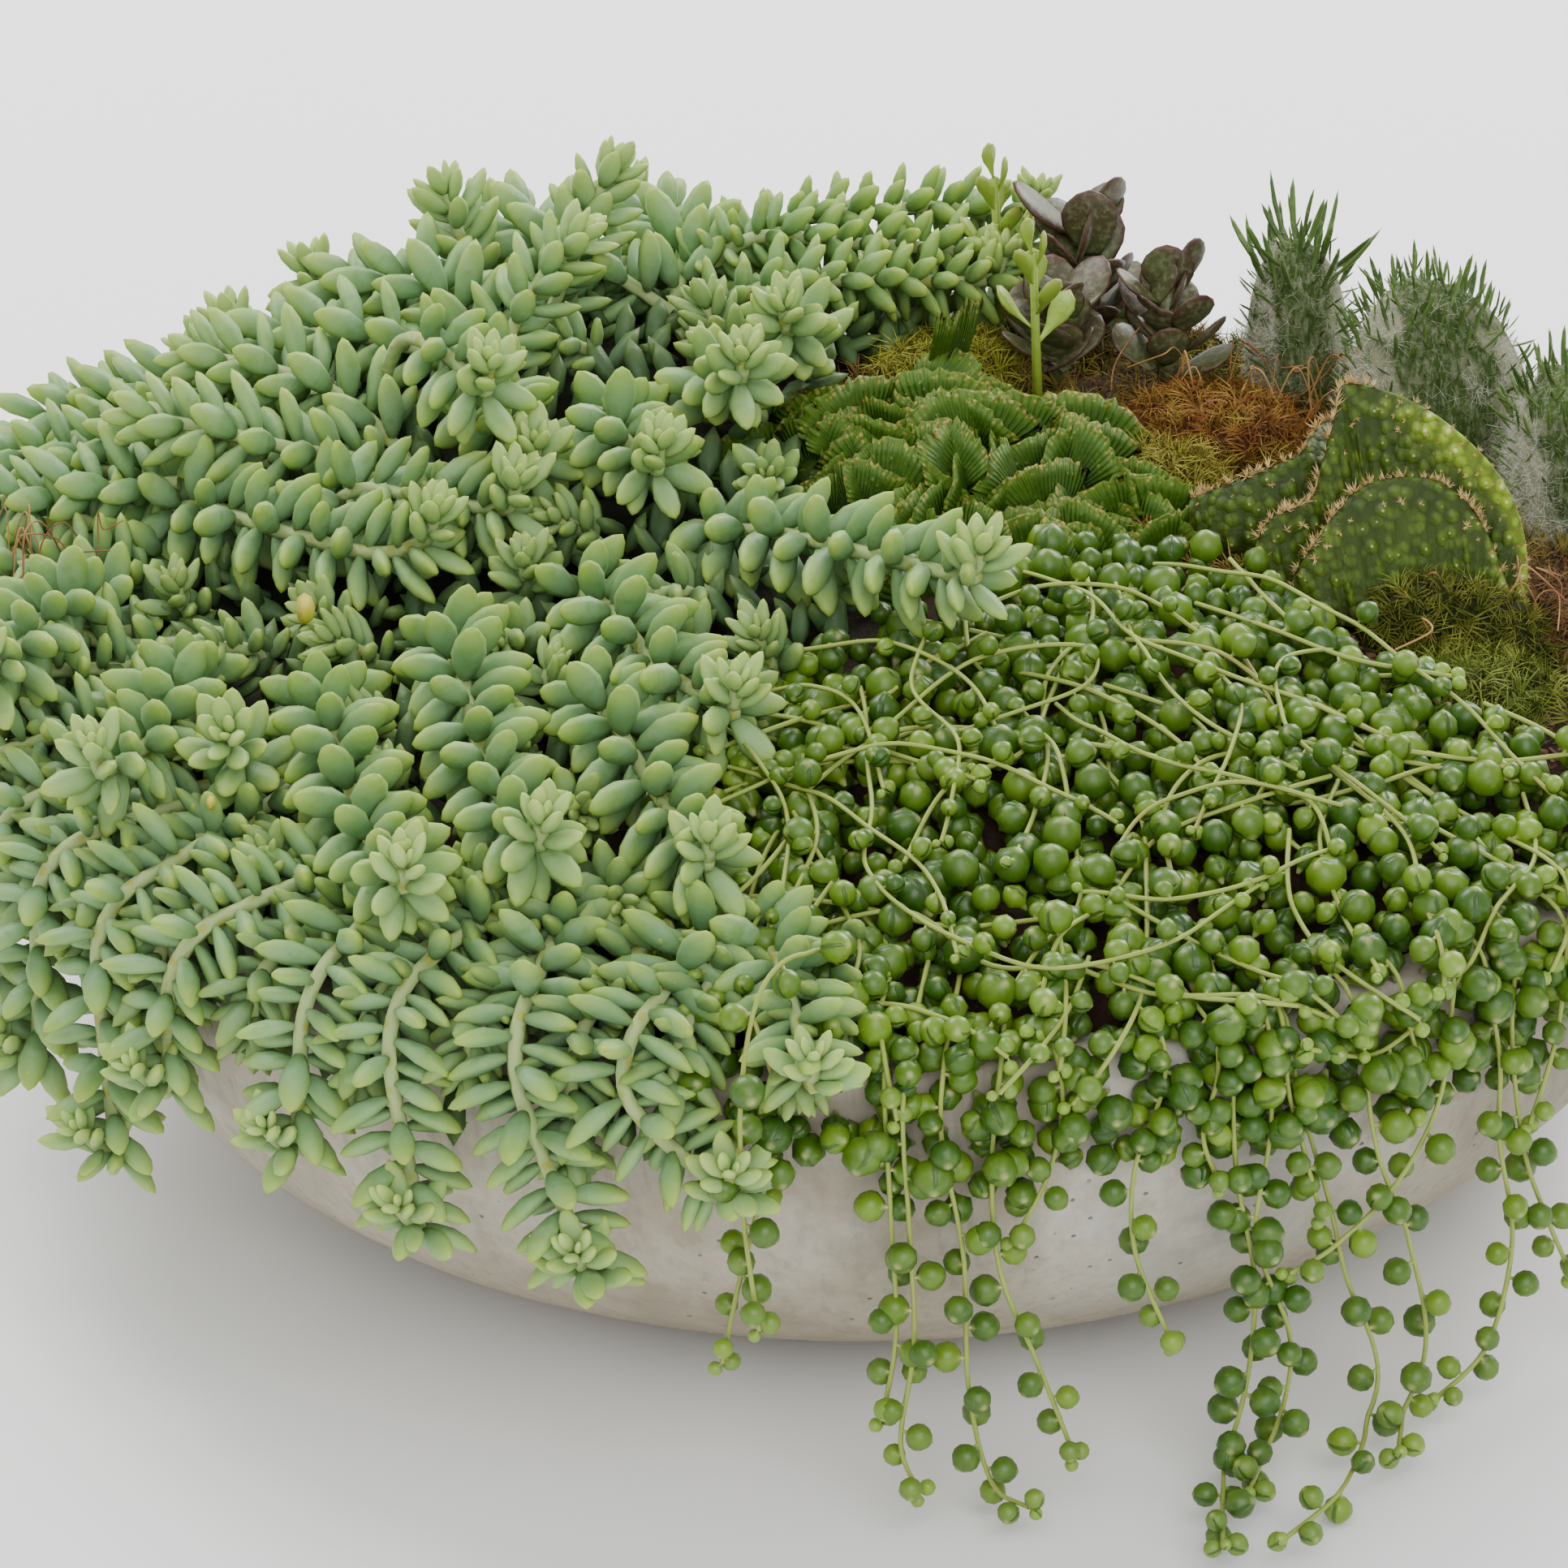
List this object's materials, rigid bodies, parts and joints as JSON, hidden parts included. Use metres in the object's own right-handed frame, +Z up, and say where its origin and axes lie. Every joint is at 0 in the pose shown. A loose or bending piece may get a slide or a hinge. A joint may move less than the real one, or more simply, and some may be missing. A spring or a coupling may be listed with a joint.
{
  "type": "succulent dish garden",
  "caption": "Round shallow concrete bowl planted with trailing donkey's tail sedum, string of pearls, crested spurge and cacti, dark rosettes and moss.",
  "frame": {"origin": "middle of the bowl's flat foot, on the table", "axes": "+Z up, -Y toward the side with the hanging pearls that faces the viewer, +X to the viewer's right"},
  "size_m": [0.4341, 0.455, 0.1981],
  "materials": {
    "cast_concrete": "matte cast concrete with fine pores",
    "cactus_green": "satin dark green plant skin",
    "spurge_green": "satin green ribbed plant skin",
    "dark_rosette_back": "satin purple-brown leaf",
    "dark_rosette_front": "satin purple-brown leaf",
    "dark_rosette_right": "satin purple-brown leaf",
    "green_shoot_back": "satin light green leaf",
    "green_shoot_front": "satin light green leaf",
    "moss_brown_back": "dry brown moss",
    "moss_brown_right": "dry brown moss",
    "moss_gold_centre": "dry yellow-green moss",
    "moss_green_back": "green moss",
    "moss_green_right": "green moss",
    "moss_orange_back": "dry orange-green moss",
    "moss_red_centre": "dry orange-red moss",
    "pearl_bead": "satin green bead",
    "potting_soil": "dark crumbly potting soil",
    "sedum_leaf": "waxy blue-green leaf",
    "woolly_cactus_left": "green fingers in white wool",
    "woolly_cactus_middle": "green fingers in white wool",
    "woolly_cactus_right": "green fingers in white wool"
  },
  "bodies": {
    "root": {"bowl": "cast_concrete", "crested_cactus": "cactus_green", "crested_spurge": "spurge_green", "dark_rosette_back": "dark_rosette_back", "dark_rosette_front": "dark_rosette_front", "dark_rosette_right": "dark_rosette_right", "green_shoot_back": "green_shoot_back", "green_shoot_front": "green_shoot_front", "moss_brown_back": "moss_brown_back", "moss_brown_right": "moss_brown_right", "moss_gold_centre": "moss_gold_centre", "moss_green_back": "moss_green_back", "moss_green_right": "moss_green_right", "moss_orange_back": "moss_orange_back", "moss_red_centre": "moss_red_centre", "pearl_mat_edge": "pearl_bead", "pearl_mat_front": "pearl_bead", "pearl_mat_middle": "pearl_bead", "pearl_mat_right": "pearl_bead", "potting_soil": "potting_soil", "sedum_back_lying": "sedum_leaf", "sedum_back_lying_low": "sedum_leaf", "sedum_back_rosette": "sedum_leaf", "sedum_bare_stalk": "sedum_leaf", "sedum_centre_long": "sedum_leaf", "sedum_centre_rosette": "sedum_leaf", "sedum_centre_top": "sedum_leaf", "sedum_front_inner": "sedum_leaf", "sedum_front_left": "sedum_leaf", "sedum_front_middle": "sedum_leaf", "sedum_front_outer": "sedum_leaf", "sedum_front_rosette": "sedum_leaf", "sedum_hang_back_a": "sedum_leaf", "sedum_hang_back_b": "sedum_leaf", "sedum_hang_back_c": "sedum_leaf", "sedum_hang_back_d": "sedum_leaf", "sedum_hang_back_e": "sedum_leaf", "sedum_hang_back_f": "sedum_leaf", "sedum_hang_front_a": "sedum_leaf", "sedum_hang_front_b": "sedum_leaf", "sedum_hang_front_c": "sedum_leaf", "sedum_hang_left_a": "sedum_leaf", "sedum_hang_left_b": "sedum_leaf", "sedum_hang_left_c": "sedum_leaf", "sedum_left_middle": "sedum_leaf", "sedum_left_rim": "sedum_leaf", "sedum_over_pearls": "sedum_leaf", "sedum_ridge_a": "sedum_leaf", "sedum_ridge_b": "sedum_leaf", "sedum_ridge_c": "sedum_leaf", "sedum_standing": "sedum_leaf", "sedum_upper_left": "sedum_leaf", "sedum_upper_middle": "sedum_leaf", "sedum_upper_rosette": "sedum_leaf", "woolly_cactus_left": "woolly_cactus_left", "woolly_cactus_middle": "woolly_cactus_middle", "woolly_cactus_right": "woolly_cactus_right"}
  },
  "joints": []
}
